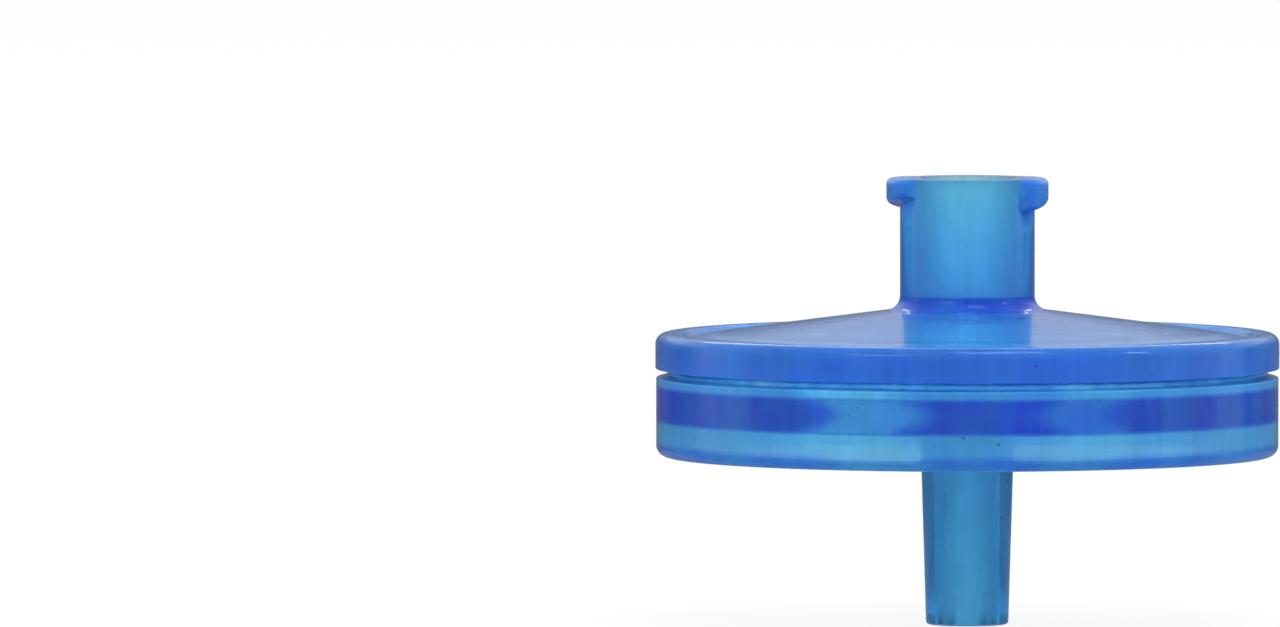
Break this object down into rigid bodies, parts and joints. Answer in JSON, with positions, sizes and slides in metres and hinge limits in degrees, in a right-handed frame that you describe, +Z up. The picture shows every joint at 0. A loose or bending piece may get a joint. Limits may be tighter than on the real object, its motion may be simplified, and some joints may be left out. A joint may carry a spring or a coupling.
{
  "type": "syringe filter",
  "caption": "Translucent blue disc-shaped syringe filter with a luer lock inlet tube above and a tapered luer outlet tip below.",
  "frame": {"origin": "centre of the outlet tip's end, on which the filter stands", "axes": "+Z up along the filter's axis, from the outlet tip to the inlet mouth; +X through one of the two luer lock lugs"},
  "size_m": [0.03, 0.03, 0.0215],
  "materials": {
    "inlet_plastic": "translucent blue moulded plastic, smooth gloss",
    "outlet_plastic": "translucent blue moulded plastic, smooth gloss",
    "membrane": "thin white microporous sheet"
  },
  "bodies": {
    "root": {"inlet_housing": "inlet_plastic", "filter_membrane": "membrane", "outlet_housing": "outlet_plastic"}
  },
  "joints": []
}
